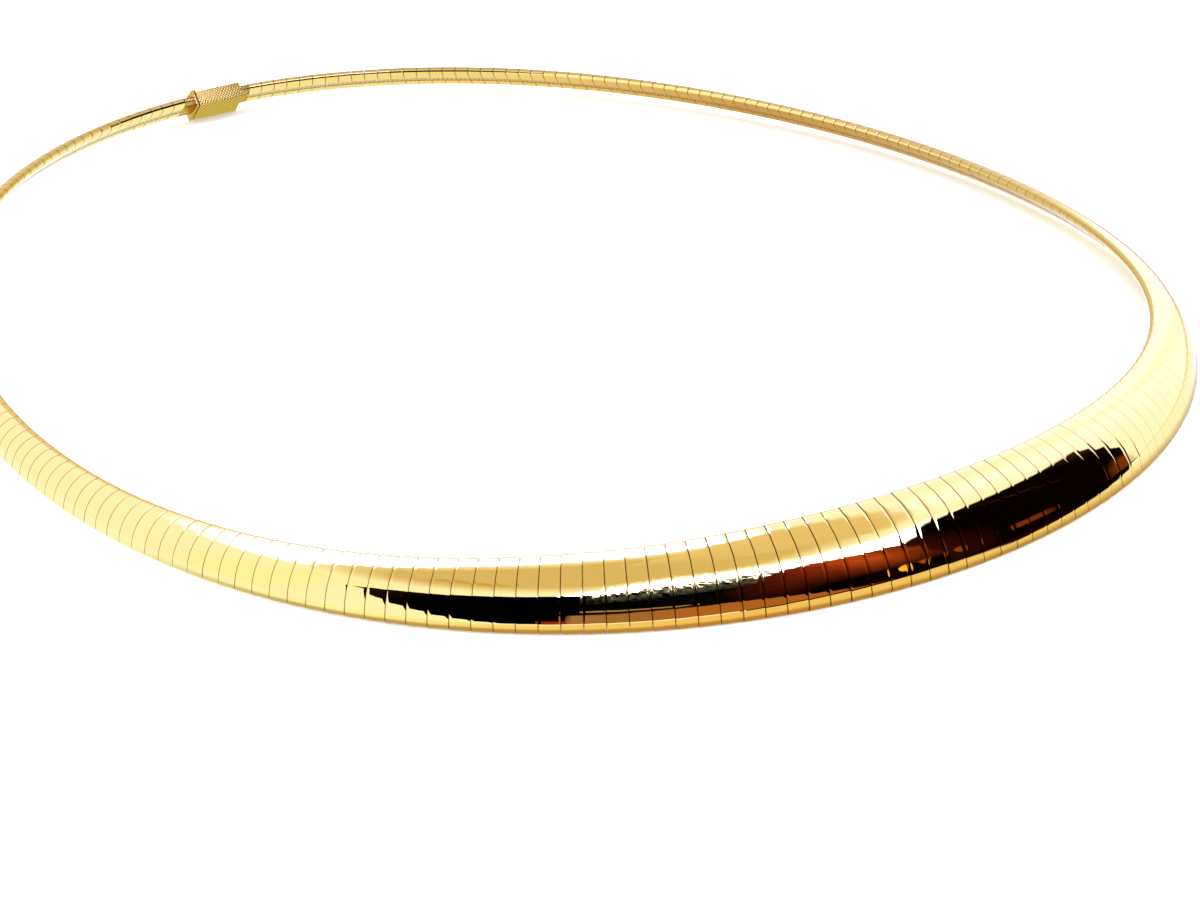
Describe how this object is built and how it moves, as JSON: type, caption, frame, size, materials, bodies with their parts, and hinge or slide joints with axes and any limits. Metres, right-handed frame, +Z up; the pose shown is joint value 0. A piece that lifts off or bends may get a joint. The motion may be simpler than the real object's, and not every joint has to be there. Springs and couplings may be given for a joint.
{
  "type": "omega necklace",
  "caption": "Rigid graduated omega collar of narrow domed gold plates folded round a woven core band, closed by a box clasp.",
  "frame": {"origin": "middle of the collar's bounding box, on the surface that it lies on", "axes": "+Y from the middle of the front to the clasp, +X to the right seen from above with the front near, +Z up from the surface"},
  "size_m": [0.1228, 0.1582, 0.006],
  "materials": {
    "plates": "high-polish yellow gold",
    "core": "woven yellow gold",
    "clasp": "polished yellow gold"
  },
  "bodies": {
    "root": {"plates_right": "plates", "plates_left": "plates", "core_band": "core", "clasp_box": "clasp", "clasp_tongue": "clasp"}
  },
  "joints": []
}
